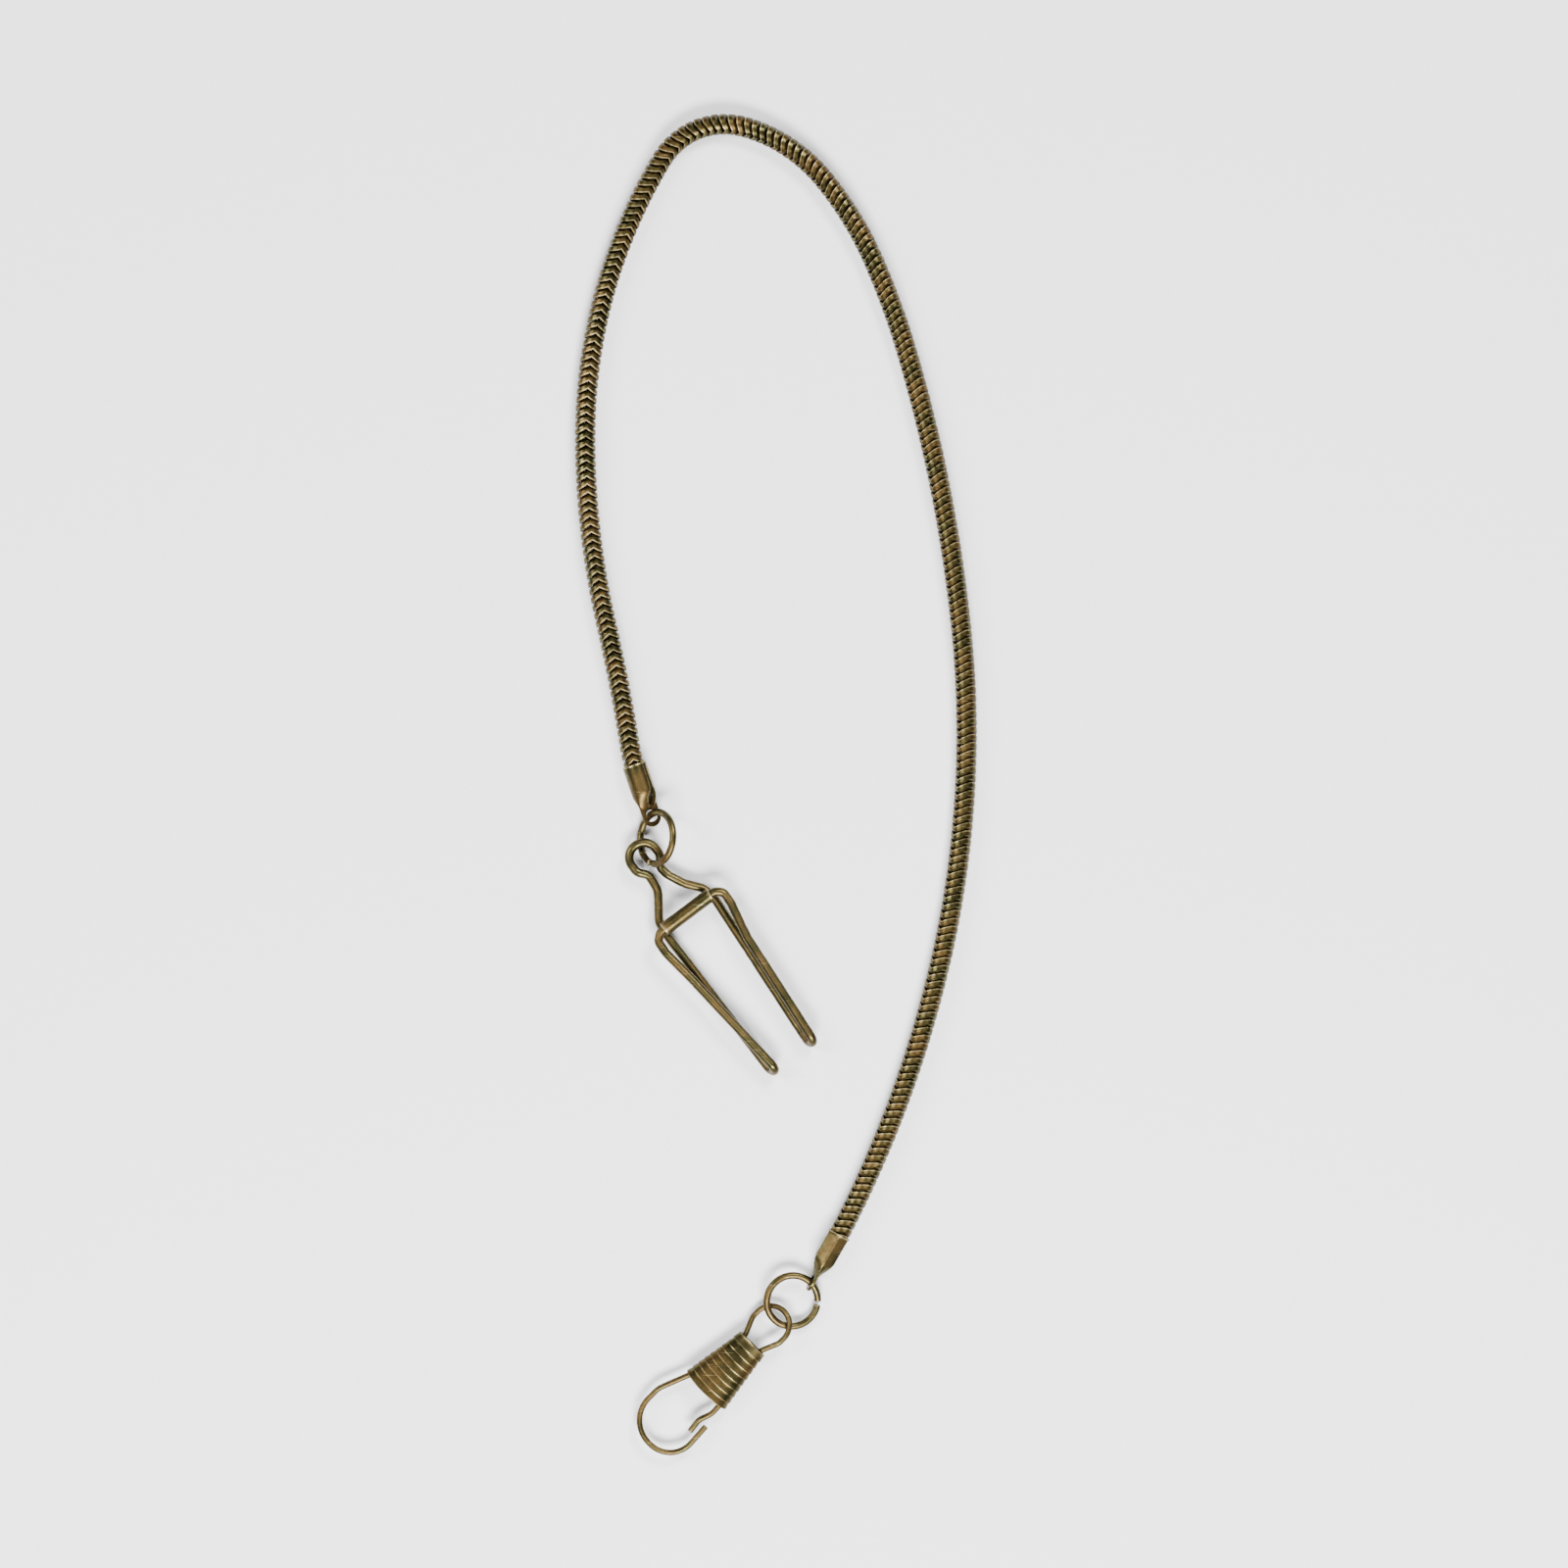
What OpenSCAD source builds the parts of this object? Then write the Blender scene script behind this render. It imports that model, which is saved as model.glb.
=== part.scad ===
// Pocket watch chain, laid out on a table: a sprung wire belt clip, a jump ring, a round snake
// chain between two crimped end caps, a second jump ring and a spring clasp for the watch.
// Millimetres. +Z is up from the table, +Y points to the bend at the top of the chain, and the
// origin is on the table under the middle of the whole lay.

/* [Snake chain] */
// Outer diameter of the chain
chain_d = 3.2; // [2.6:0.1:4]
// Bore through the links
link_bore = 2.2; // [1.6:0.1:2.4]
// Distance from one link to the next
link_pitch = 1.22; // [1.15:0.01:1.5]
// Length of one link's band along the chain
link_len = 0.9; // [0.7:0.05:0.95]
// How deep each chevron is
link_dip = 0.95; // [0.6:0.05:1.2]
// How far the front point of each chevron is blunted
link_blunt = 0.25; // [0.1:0.05:0.4]
// Links in each run between two bending joints
run_links = 6; // [4:1:8]
// Extra gap at each bending joint
run_gap = 0.1; // [0.05:0.01:0.2]
// Links hidden inside each end cap
gripped_links = 3; // [1:1:4]

/* [End caps] */
// Thickness of the sheet that grips the chain
cap_wall = 0.22; // [0.15:0.01:0.6]
// Length of the round part that grips the chain
cap_grip = 4.8; // [4:0.1:6]
// Length of the taper between the grip and the tongue
cap_taper = 2; // [1.5:0.1:3]
// Thickness of the tongue
tongue_t = 0.5; // [0.4:0.05:0.8]
// Diameter of the hole in the tongue
tongue_hole = 2.2; // [2:0.1:2.8]
// Metal round the hole in the tongue
tongue_rim = 0.45; // [0.4:0.05:0.8]
// Width of the seam where the cap is folded closed
seam_w = 0.3; // [0.1:0.05:0.6]

/* [Jump rings] */
// Outer diameter of a jump ring
ring_d = 9; // [8.5:0.1:11]
// Diameter of the jump rings' wire
ring_wire = 1.1; // [0.8:0.05:1.3]
// Width of the cut in a jump ring
ring_cut = 0.6; // [0.2:0.1:1]

/* [Belt clip] */
// Diameter of the belt clip's spring wire
clip_wire = 1.4; // [1.1:0.05:1.7]
// Length from the sleeve to the bend at the tips
clip_leg = 26; // [20:1:36]
// Width over the shoulders, centre to centre
clip_shoulder = 12.5; // [11.5:0.1:15]
// Width at the tips, centre to centre
clip_tips = 7.2; // [6:0.1:9]
// Rise of the front legs over the back legs at the tips
clip_rise = 2.6; // [2.2:0.1:3.6]
// Sideways step from the back legs to the front legs
clip_skew = 0.9; // [0:0.1:1.2]
// Length of the sleeve that joins the wire's two ends
sleeve_len = 9; // [7:0.1:10.5]
// Outer diameter of that sleeve
sleeve_d = 2.2; // [2:0.1:3]
// Diameter of the clip's eye, centre to centre of its wire
eye_d = 4.5; // [4.2:0.1:6]
// Distance from the sleeve to the middle of the eye
eye_at = 10.6; // [9.5:0.1:14]

/* [Spring clasp] */
// Diameter of the clasp's spring wire
clasp_wire = 0.9; // [0.7:0.05:1.1]
// Length of the ribbed sleeve
cone_len = 10; // [8:0.1:13]
// Width of the ribbed sleeve at the loop end
cone_top = 5.2; // [4.8:0.1:6.5]
// Width of the ribbed sleeve at the hook end
cone_base = 8.4; // [7.6:0.1:10]
// Thickness of the ribbed sleeve as a share of its width
cone_flat = 0.53; // [0.48:0.01:0.7]
// Number of ribs on the sleeve
ribs = 8; // [4:1:12]
// Diameter of the clasp's loop, centre to centre of its wire
loop_d = 5.9; // [5.4:0.1:7.5]
// Diameter of the hook's bend, centre to centre of its wire
hook_d = 9.7; // [8:0.1:12]
// Distance from the ribbed sleeve to the middle of the hook's bend
hook_at = 7.1; // [6:0.1:10]

/* [Hidden] */
// Rest lay of the chain, from the belt clip's cap to the clasp's cap: [links, turn of each link in degrees]
LAY = [[2, -4.8], [16, 0.25], [24, -0.55], [36, -0.85], [12, -6.25], [12, -2.9], [12, -1.3],
       [12, -0.6], [36, -0.3], [42, -0.45], [34, -0.4], [2, -1.4]];
START = [-21.65, 3.04];      // mouth of the first end cap
START_TURN = 108.5;          // direction in which the chain leaves it
TWIST = [[48, 5], [96, 50]]; // the chevrons turn from the first angle to the second between these links

LINKS = len([for (s = LAY) for (k = [1:s[0]]) k]);
RUNS = ceil(LINKS / run_links);
FIT = 0.03;                  // clearance of a piece crimped on another
RUNNING = 0.1;               // clearance between pieces that rest on each other
CAP_D = chain_d + 2 * (FIT + cap_wall); // outer diameter of an end cap
CAP_Z = CAP_D / 2;           // height of the chain's axis over the table
TONGUE_AT = cap_grip + cap_taper + tongue_hole / 2 + 0.5; // middle of the tongue's hole, from the mouth
RING_R = (ring_d - ring_wire) / 2;
RING_PLAY = (tongue_hole - ring_wire) / 1.1; // play of a jump ring's wire in a tongue's hole, 1 when it is 1.1 mm
WIRE_SIDES = 14;             // sides of the bent wires
BEND_STEP = 12;              // turn of a wire from one point of a bend to the next
HINGE_OFF = 1.8 * chain_d / 3.2; // how far behind or ahead of a joint's gap its hinge axis lies

function pad2(i) = i < 10 ? str("0", i) : str(i);
function run_name(i) = str("chain_run_", pad2(i));
$fn = 32;

// ---- directions and routes ----
function dir(a) = [cos(a), sin(a), 0];
function unit(v) = v / norm(v);

// A slanted circle's point at angle t: the circle rises towards the heading by the tilt
function circle_point(c, r, heading, tilt, t) =
    c + r * (cos(t) * [cos(tilt) * cos(heading), cos(tilt) * sin(heading), sin(tilt)]
             + sin(t) * [-sin(heading), cos(heading), 0]);

TURNS = [for (s = LAY) for (k = [1:s[0]]) s[1]];
// Where each link begins: [x, y, direction]
PATH = [for (i = 0, x = START[0], y = START[1], a = START_TURN;
             i <= LINKS;
             x = x + link_pitch * cos(a + TURNS[min(i, LINKS - 1)] / 2),
             y = y + link_pitch * sin(a + TURNS[min(i, LINKS - 1)] / 2),
             a = a + (i < LINKS ? TURNS[i] : 0), i = i + 1) [x, y, a]];
END = PATH[LINKS];
function share(i) = min(1, max(0, (i - TWIST[0][0]) / (TWIST[1][0] - TWIST[0][0])));
function twist(i) = TWIST[0][1] + (TWIST[1][1] - TWIST[0][1]) * share(i) * share(i) * (3 - 2 * share(i));

// ---- shared shapes ----
// The bend at point i of a route, as points along the wire's middle. Each point of a route is
// [position, radius of the bend there]; the two ends have no bend.
function bend_points(pts, i) =
    let (u = unit(pts[i][0] - pts[i - 1][0]), w = unit(pts[i + 1][0] - pts[i][0]), r = pts[i][1],
         turn = acos(u * w), m = unit(w - (u * w) * u), steps = max(1, ceil(turn / BEND_STEP)),
         centre = pts[i][0] - r * tan(turn / 2) * u + r * m)
    [for (j = [0:steps]) centre + r * (sin(turn * j / steps) * u - cos(turn * j / steps) * m)];
function route_points(pts) =
    let (n = len(pts) - 1,
         all = [for (i = [0:n]) each (i == 0 || i == n) ? [pts[i][0]] : bend_points(pts, i)])
    [for (i = [0:len(all) - 1]) if (i == 0 || norm(all[i] - all[i - 1]) > 0.05) all[i]];

// A round wire along a route
module wire(pts, d) {
    p = route_points(pts);
    n = len(p) - 1;
    s = WIRE_SIDES;
    along = [for (i = [0:n]) unit(p[min(i + 1, n)] - p[max(i - 1, 0)])];
    across = [for (i = 0, v = unit(cross(along[0], [0.3, 0.5, 0.8])); i <= n;
                   v = unit(v - (v * along[min(i + 1, n)]) * along[min(i + 1, n)]), i = i + 1) v];
    polyhedron(
        points = [for (i = [0:n], k = [0:s - 1])
                  p[i] + d / 2 * (cos(360 * k / s) * across[i]
                                  + sin(360 * k / s) * cross(along[i], across[i]))],
        faces = concat(
            [for (i = [0:n - 1], k = [0:s - 1]) each
                let (a = i * s + k, b = i * s + (k + 1) % s) [[a, a + s, b + s], [a, b + s, b]]],
            [for (k = [1:s - 2]) [0, k, k + 1]],
            [for (k = [1:s - 2]) [n * s, n * s + k + 1, n * s + k]]));
}

// ---- snake chain ----
// One link, with its axis on X and its chevrons facing +Z and -Z. Its back edge is a sharp V and
// its front edge a blunted one, so a three-cornered gap stays behind each point.
module link(trim_back = 0, trim_front = 0) {
    w = chain_d / 2 + 0.2;
    slope = 2 * link_dip / chain_d;
    tip = link_dip / 2;
    blunt_y = link_blunt / slope;
    front = link_len / 2 - trim_front;
    back = -link_len / 2 + trim_back;
    intersection() {
        rotate([0, 90, 0]) difference() {
            cylinder(d = chain_d, h = 4, center = true);
            cylinder(d = link_bore, h = 5, center = true);
        }
        linear_extrude(height = chain_d + 1, center = true)
            polygon([[tip + back, 0], [tip - slope * w + back, w], [tip - slope * w + front, w],
                     [tip - link_blunt + front, blunt_y], [tip - link_blunt + front, -blunt_y],
                     [tip - slope * w + front, -w], [tip - slope * w + back, -w]]);
    }
}

// Link number i in its place in the lay; numbers below 0 or past the end lie inside the caps
module placed_link(i, trim_back = 0, trim_front = 0) {
    outside = i < 0 ? i : i >= LINKS ? i - LINKS : 0;
    from = i < 0 ? PATH[0] : i >= LINKS ? END : PATH[i];
    a = from[2] + (i < 0 || i >= LINKS ? 0 : TURNS[i] / 2);
    translate([from[0], from[1], CAP_Z] + (outside + 0.5) * link_pitch * dir(a))
        rotate([0, 0, a]) rotate([twist(i), 0, 0]) link(trim_back, trim_front);
}

// Run number n of the chain, a group of separate links
module chain_run(n) {
    first = (n - 1) * run_links;
    last = min(n * run_links, LINKS) - 1;
    color("darkkhaki")
        for (i = [(n == 1 ? -gripped_links : first):(n == RUNS ? LINKS + gripped_links - 1 : last)])
            placed_link(i, i == first && n > 1 ? run_gap / 2 : 0, i == last && n < RUNS ? run_gap / 2 : 0);
}

// ---- end caps ----
// A cap folded from sheet: a split tube that grips the chain, a taper and a flat tongue with a
// hole. Its mouth is at the origin and it points along +X; the tongue faces +Z before it is rolled.
module end_cap(roll, seam) {
    bore = chain_d + 2 * FIT;
    neck = 1.9;
    rotate([0, 90, 0]) difference() {
        rotate_extrude() polygon([[bore / 2, 0], [CAP_D / 2, 0], [CAP_D / 2, cap_grip],
                                  [neck / 2, cap_grip + cap_taper],
                                  [neck / 2 - cap_wall, cap_grip + cap_taper], [bore / 2, cap_grip]]);
        rotate([0, 0, seam]) translate([0, -seam_w / 2, -1]) cube([CAP_D, seam_w, cap_grip + 0.6]);
    }
    rotate([roll, 0, 0]) difference() {
        union() {
            translate([cap_grip + cap_taper * 0.4, -neck * 0.42, -tongue_t / 2])
                cube([TONGUE_AT - cap_grip - cap_taper * 0.4, neck * 0.84, tongue_t]);
            translate([TONGUE_AT, 0, -tongue_t / 2])
                cylinder(d = tongue_hole + 2 * tongue_rim, h = tongue_t);
        }
        translate([TONGUE_AT, 0, -1]) cylinder(d = tongue_hole, h = 2);
    }
}

// Middle of a cap's tongue hole, for a cap whose mouth is at [x, y] and that points at heading
function tongue_point(mouth, heading) = [mouth[0], mouth[1], CAP_Z] + TONGUE_AT * dir(heading);

CLIP_CAP_TURN = START_TURN + 180;
CLIP_CAP_ROLL = -32;
CLASP_CAP_ROLL = 82;
module end_cap_clip() {
    color("goldenrod") translate([START[0], START[1], CAP_Z]) rotate([0, 0, CLIP_CAP_TURN])
        end_cap(CLIP_CAP_ROLL, 150);
}
module end_cap_clasp() {
    color("goldenrod") translate([END[0], END[1], CAP_Z]) rotate([0, 0, END[2]])
        end_cap(CLASP_CAP_ROLL, -105);
}

// ---- jump rings ----
// Each ring is set by its heading, its tilt, the angle at which its wire passes through the cap's
// tongue, and where in the tongue's hole the wire lies.
CLIP_RING = [-6, 50, 120];
CLIP_RING_C = tongue_point(START, CLIP_CAP_TURN) - 0.32 * RING_PLAY * dir(CLIP_CAP_TURN) + [0, 0, 0.25 * RING_PLAY]
              + circle_point([0, 0, 0], RING_R, CLIP_RING[0], CLIP_RING[1], CLIP_RING[2] + 180);
CLASP_RING = [146, 12, 256];
CLASP_RING_C = tongue_point(END, END[2]) + 0.32 * RING_PLAY * dir(END[2]) - [0, 0, 0.15 * RING_PLAY]
               + circle_point([0, 0, 0], RING_R, CLASP_RING[0], CLASP_RING[1], CLASP_RING[2] + 180);

module jump_ring(c, set, cut_at) {
    half_cut = asin(ring_cut / (2 * RING_R));
    translate(c) rotate([0, 0, set[0]]) rotate([0, -set[1], 0]) rotate([0, 0, cut_at + half_cut])
        rotate_extrude(angle = 360 - 2 * half_cut) translate([RING_R, 0]) circle(d = ring_wire);
}
module jump_ring_clip() {
    color("peru") jump_ring(CLIP_RING_C, CLIP_RING, 262);
}
module jump_ring_clasp() {
    color("peru") jump_ring(CLASP_RING_C, CLASP_RING, 208);
}

// ---- belt clip ----
// In the clip's own frame X runs from the sleeve to the tips, Y across, and Z from the back legs
// to the front legs. The wire's two ends meet in the sleeve; it bends back on itself at the tips.
CLIP_TURN = -53;
CLIP_DIP = 2;                // the tips lie this many degrees lower than the eye
SLEEVE_Z = (clip_wire + sleeve_d) / 2 + RUNNING;
BACK_SPAN = sleeve_len / 2 + 0.1;
TIP_GAP = 0.3;               // gap at the bend of each tip, where the wire flexes
EYE = [-eye_at, -0.3, 0];
// The jump ring passes the eye here
CLIP_RING_IN_EYE = circle_point(CLIP_RING_C, RING_R, CLIP_RING[0], CLIP_RING[1], 240);
CLIP_AT = CLIP_RING_IN_EYE + [-0.35, 0.3, 0.06]
          - [cos(CLIP_TURN) * cos(CLIP_DIP) * EYE[0] - sin(CLIP_TURN) * EYE[1],
             sin(CLIP_TURN) * cos(CLIP_DIP) * EYE[0] + cos(CLIP_TURN) * EYE[1],
             -sin(CLIP_DIP) * EYE[0]];

function back_tip(side) = [clip_leg, side * clip_tips / 2 - clip_skew, 0];
function front_tip(side) = [clip_leg, side * clip_tips / 2, clip_rise];
function tip_bend(side) = norm(front_tip(side) - back_tip(side));

module in_clip() {
    translate(CLIP_AT) rotate([0, 0, CLIP_TURN]) rotate([0, CLIP_DIP, 0]) children();
}

// The last stretch of a leg that ends at tip p: out past the tip and half way round towards tip q
function tip_turn(p, q, side) = let (r = tip_bend(side) / 2)
    [[p + [r, 0, 0], 0.88 * r], [p + [r, 0, 0] + (r - TIP_GAP / 2) * unit(q - p), 0]];
function backwards(v) = [for (i = [len(v) - 1:-1:0]) v[i]];

module clip_back_legs() {
    r = eye_d / 2;
    color("darkgoldenrod") in_clip() wire(concat(
        backwards(tip_turn(back_tip(-1), front_tip(-1), -1)),
        [[[1.3, -BACK_SPAN - 0.1, 0], 3], [[-1.2, -BACK_SPAN + 0.1, 0], 3],
         [[-eye_at / 2, -1.6, 0], 3],
         [EYE + [1.16 * r, -0.47 * r, 0], 1.2], [EYE + [0.53 * r, -r, 0], 1.6],
         [EYE + [-r, -r, 0], r], [EYE + [-r, r, 0], r],
         [EYE + [0.53 * r, r, 0], 1.6], [EYE + [1.16 * r, 0.47 * r, 0], 1.2],
         [[-eye_at * 0.6, 0.95, 0], 3], [[-eye_at * 0.35, 2.2, 0], 3],
         [[-1.2, BACK_SPAN - 0.4, 0], 3], [[1.2, BACK_SPAN - 0.1, 0], 3]],
        tip_turn(back_tip(1), front_tip(1), 1)), clip_wire);
}

// One front leg, from inside the sleeve out over the shoulder and down to the tip
module clip_front_leg(side, waist) {
    shoulder = clip_shoulder / 2;
    color("darkgoldenrod") in_clip() wire(concat(
        [[[0, side * 0.3, SLEEVE_Z], 0], [[0, side * (sleeve_len / 2 + 0.7), SLEEVE_Z], 1.2],
         [[0.9, side * shoulder, SLEEVE_Z], 1.2],
         [[3, side * shoulder - 0.1, SLEEVE_Z + 0.08], 3],
         [[8.5, side * waist, SLEEVE_Z + (clip_rise - SLEEVE_Z) * 8.5 / clip_leg], 5]],
        tip_turn(front_tip(side), back_tip(side), side)), clip_wire);
}
module clip_front_leg_left() {
    clip_front_leg(-1, 5.6);
}
module clip_front_leg_right() {
    clip_front_leg(1, 5);
}
module clip_sleeve() {
    color("darkgoldenrod") in_clip() translate([0, -sleeve_len / 2, SLEEVE_Z]) rotate([-90, 0, 0])
        difference() {
            cylinder(d = sleeve_d, h = sleeve_len);
            translate([0, 0, -1]) cylinder(d = clip_wire + 2 * FIT, h = sleeve_len + 2);
        }
}

// ---- spring clasp ----
// In the clasp's own frame X runs from the loop to the hook, Y across, and Z up. One wire makes
// the loop, the hook and the gate, and the ribbed sleeve is pressed flat over its two legs.
CLASP_TURN = 225;
CLASP_Z = cone_flat * cone_base / 2;
LOOP_ROLL = 18;
LOOP_DROP = 0.22;
LEG_TOP = cone_top / 2 - 0.5 * clasp_wire - 0.5;
LEG_BASE = cone_base / 2 - 0.5 * clasp_wire - 0.4;
LOOP_AT = 3.9 * loop_d / 5.9;
HOOK = [cone_len + hook_at, -0.45, 0]; // middle of the hook's bend
GATE_PIN = [cone_len - 2.5, LEG_BASE - 0.55, 0];
CLASP_LOOP_C = CLASP_RING_C + (RING_R + loop_d / 2 - ring_wire - clasp_wire + 0.05) * dir(228.2);
CLASP_AT = [CLASP_LOOP_C[0], CLASP_LOOP_C[1], CLASP_Z] + LOOP_AT * dir(CLASP_TURN);

function in_loop(x, y) = [x - LOOP_AT, y * cos(LOOP_ROLL), y * sin(LOOP_ROLL) - LOOP_DROP];

module in_clasp() {
    translate(CLASP_AT) rotate([0, 0, CLASP_TURN]) children();
}

module clasp_hook() {
    r = loop_d / 2;
    h = hook_d / 2;
    pin_side = [0, LEG_TOP, 0];
    color("darkgoldenrod") in_clasp() wire([
        [GATE_PIN + 0.85 * unit(pin_side - GATE_PIN), 0], [pin_side, 2],
        [in_loop(0.34 * r, r), 2], [in_loop(-r, r), r], [in_loop(-r, -r), r], [in_loop(0.34 * r, -r), 2],
        [[0, -LEG_TOP, 0], 2], [[cone_len, -LEG_BASE, 0], 3],
        [HOOK + [-0.43 * h, -h, 0], 4], [HOOK + [h, -h, 0], h], [HOOK + [h, h, 0], 0.88 * h],
        [HOOK + [-0.64 * h, 0.9 * h, 0], 0]], clasp_wire);
}

module clasp_gate() {
    color("darkgoldenrod") in_clasp()
        wire([[GATE_PIN, 0], [[cone_len, LEG_BASE - 0.25, 0], 3], [[cone_len + 2, LEG_BASE - 0.15, 0], 3],
              [[cone_len + 4.1, LEG_BASE - 0.9, 0], 2], [[cone_len + 6.3, LEG_BASE - 0.6, 0], 0]],
             clasp_wire);
}

// The ribbed sleeve: a stepped cone, hollow, pressed to an oval
module clasp_sleeve() {
    wall = 0.3;
    plain = 1.4;             // smooth band at the loop end
    step = 0.14;
    rib = (cone_len - plain) / ribs;
    function r_at(x) = cone_top / 2 + (cone_base - cone_top) / 2 * x / cone_len;
    outside = [for (i = [0:ribs - 1], k = [0, 1])
               [r_at(plain + (i + k) * rib) - (k == 0 ? step : 0), plain + (i + k) * rib]];
    color("olive") in_clasp() scale([1, 1, cone_flat]) rotate([0, 90, 0])
        rotate_extrude($fn = 48) polygon(concat(
            [[r_at(0) - wall, 0], [r_at(0), 0], [r_at(plain), plain]], outside,
            [[r_at(cone_len) - wall, cone_len]]));
}

clip_back_legs();
clip_front_leg_left();
clip_front_leg_right();
clip_sleeve();
jump_ring_clip();
end_cap_clip();
for (n = [1:RUNS]) chain_run(n);
end_cap_clasp();
jump_ring_clasp();
clasp_hook();
clasp_sleeve();
clasp_gate();
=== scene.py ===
"""Pocket watch chain: a snake chain with a sprung belt clip and a spring clasp for the watch.

Every piece is in metres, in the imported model's frame: +Z up from the table, +Y towards the bend at
the top of the lay. Lengths below are in millimetres and become metres when a mesh is made.
"""

import math

import bmesh
import bpy
from bpy.props import FloatProperty, FloatVectorProperty, IntProperty, PointerProperty
from mathutils import Matrix, Vector, noise


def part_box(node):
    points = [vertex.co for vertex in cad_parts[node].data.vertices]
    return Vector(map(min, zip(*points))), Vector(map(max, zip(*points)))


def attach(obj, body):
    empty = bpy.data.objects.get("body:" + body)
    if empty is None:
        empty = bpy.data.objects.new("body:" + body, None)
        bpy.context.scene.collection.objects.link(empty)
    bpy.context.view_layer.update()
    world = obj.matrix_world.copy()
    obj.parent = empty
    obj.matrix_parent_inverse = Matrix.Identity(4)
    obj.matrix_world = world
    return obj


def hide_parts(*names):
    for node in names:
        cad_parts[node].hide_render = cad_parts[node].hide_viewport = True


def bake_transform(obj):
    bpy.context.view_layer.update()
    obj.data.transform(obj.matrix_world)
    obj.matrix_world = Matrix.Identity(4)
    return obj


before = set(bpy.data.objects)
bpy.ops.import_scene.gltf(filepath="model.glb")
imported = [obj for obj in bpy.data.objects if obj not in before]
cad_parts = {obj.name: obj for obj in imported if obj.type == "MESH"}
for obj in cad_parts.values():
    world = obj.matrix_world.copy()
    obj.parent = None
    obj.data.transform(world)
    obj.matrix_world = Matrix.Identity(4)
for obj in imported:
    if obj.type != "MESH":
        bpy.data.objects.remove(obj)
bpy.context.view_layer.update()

bl_info = {
    "name": "Pocket Watch Chain",
    "version": (1, 0, 0),
    "blender": (4, 5, 0),
    "location": "View3D > Sidebar > Watch Chain",
    "description": "Builds a pocket watch chain with its belt clip, jump rings, end caps and clasp",
    "category": "Add Mesh",
}

MM = 0.001
STRAY = 0.4 * MM  # how far a piece may reach past the solids that it stands for

# ---- sizes of the pieces, in millimetres ----
CRIMP, RUNNING = 0.03, 0.1  # clearance inside a crimp, and between pieces that rest on each other
CHAIN_R, BORE_R, PITCH, LINK_LEN, DIP, BLUNT = 1.6, 1.1, 1.22, 0.9, 0.95, 0.25
RUN_LINKS, GRIPPED = 6, 3
CAP_R, CAP_GRIP, CAP_TAPER, TONGUE_T, HOLE_R, RIM = 1.85, 4.8, 2.0, 0.5, 1.1, 0.45
TONGUE_AT = CAP_GRIP + CAP_TAPER + HOLE_R + 0.5
RING_D, RING_WIRE, RING_CUT = 9.0, 1.1, 0.6
RING_R = (RING_D - RING_WIRE) / 2
CLIP_WIRE, CLIP_LEG, CLIP_SHOULDER, CLIP_TIPS, CLIP_RISE, CLIP_SKEW = 1.4, 26.0, 12.5, 7.2, 2.6, 0.9
SLEEVE_LEN, SLEEVE_D, EYE_D, EYE_AT = 9.0, 2.2, 4.5, 10.6
SLEEVE_Z = (CLIP_WIRE + SLEEVE_D) / 2 + RUNNING
CLASP_WIRE, CONE_LEN, CONE_TOP, CONE_BASE, CONE_FLAT, RIBS = 0.9, 10.0, 5.2, 8.4, 0.53, 8
LOOP_D, HOOK_D, HOOK_AT = 5.9, 9.7, 7.1

# ---- lay of the chain: [links, turn of each link in degrees] ----
LAY = [[2, -4.8], [16, 0.25], [24, -0.55], [36, -0.85], [12, -6.25], [12, -2.9], [12, -1.3],
       [12, -0.6], [36, -0.3], [42, -0.45], [34, -0.4], [2, -1.4]]
START, START_TURN = (-21.65, 3.04), 108.5
TWIST = ((48, 5), (96, 50))
TURNS = [turn for links, turn in LAY for _ in range(links)]
LINKS = len(TURNS)
RUNS = LINKS // RUN_LINKS


def heading(angle):
    """The level direction at an angle from +X, in degrees."""
    a = math.radians(angle)
    return Vector((math.cos(a), math.sin(a), 0))


def lay_path():
    """Where each link begins, as (x, y, direction in degrees)."""
    x, y, a = START[0], START[1], START_TURN
    path = [(x, y, a)]
    for turn in TURNS:
        step = PITCH * heading(a + turn / 2)
        x, y, a = x + step.x, y + step.y, a + turn
        path.append((x, y, a))
    return path


PATH = lay_path()
END = PATH[-1]


def twist_at(link):
    """How far the chevrons are turned about the chain at a link, in degrees."""
    s = min(1, max(0, (link - TWIST[0][0]) / (TWIST[1][0] - TWIST[0][0])))
    return TWIST[0][1] + (TWIST[1][1] - TWIST[0][1]) * s * s * (3 - 2 * s)


def circle_point(radius, turn, tilt, angle):
    """A point of a slanted circle round the origin: it rises towards its heading by the tilt."""
    a, t = math.radians(angle), math.radians(tilt)
    side = heading(turn + 90)
    up = Vector((math.cos(t) * heading(turn).x, math.cos(t) * heading(turn).y, math.sin(t)))
    return radius * (math.cos(a) * up + math.sin(a) * side)


def tongue_point(mouth, turn):
    """The middle of the hole in a cap's tongue."""
    return Vector((mouth[0], mouth[1], CAP_R)) + TONGUE_AT * heading(turn)


# ---- places of the fittings ----
# Each ring: its heading, its tilt and the angle at which it passes through the tongue's hole
CLIP_RING, CLASP_RING = (-6, 50, 120), (146, 12, 256)
CLIP_RING_CUT_AT, CLASP_RING_CUT_AT = 262, 208
CLIP_CAP_TURN = START_TURN + 180
# Where each ring's wire lies in the hole: along the cap, and up
CLIP_RING_SEAT, CLASP_RING_SEAT = (-0.32, 0.25), (0.32, -0.15)


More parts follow.
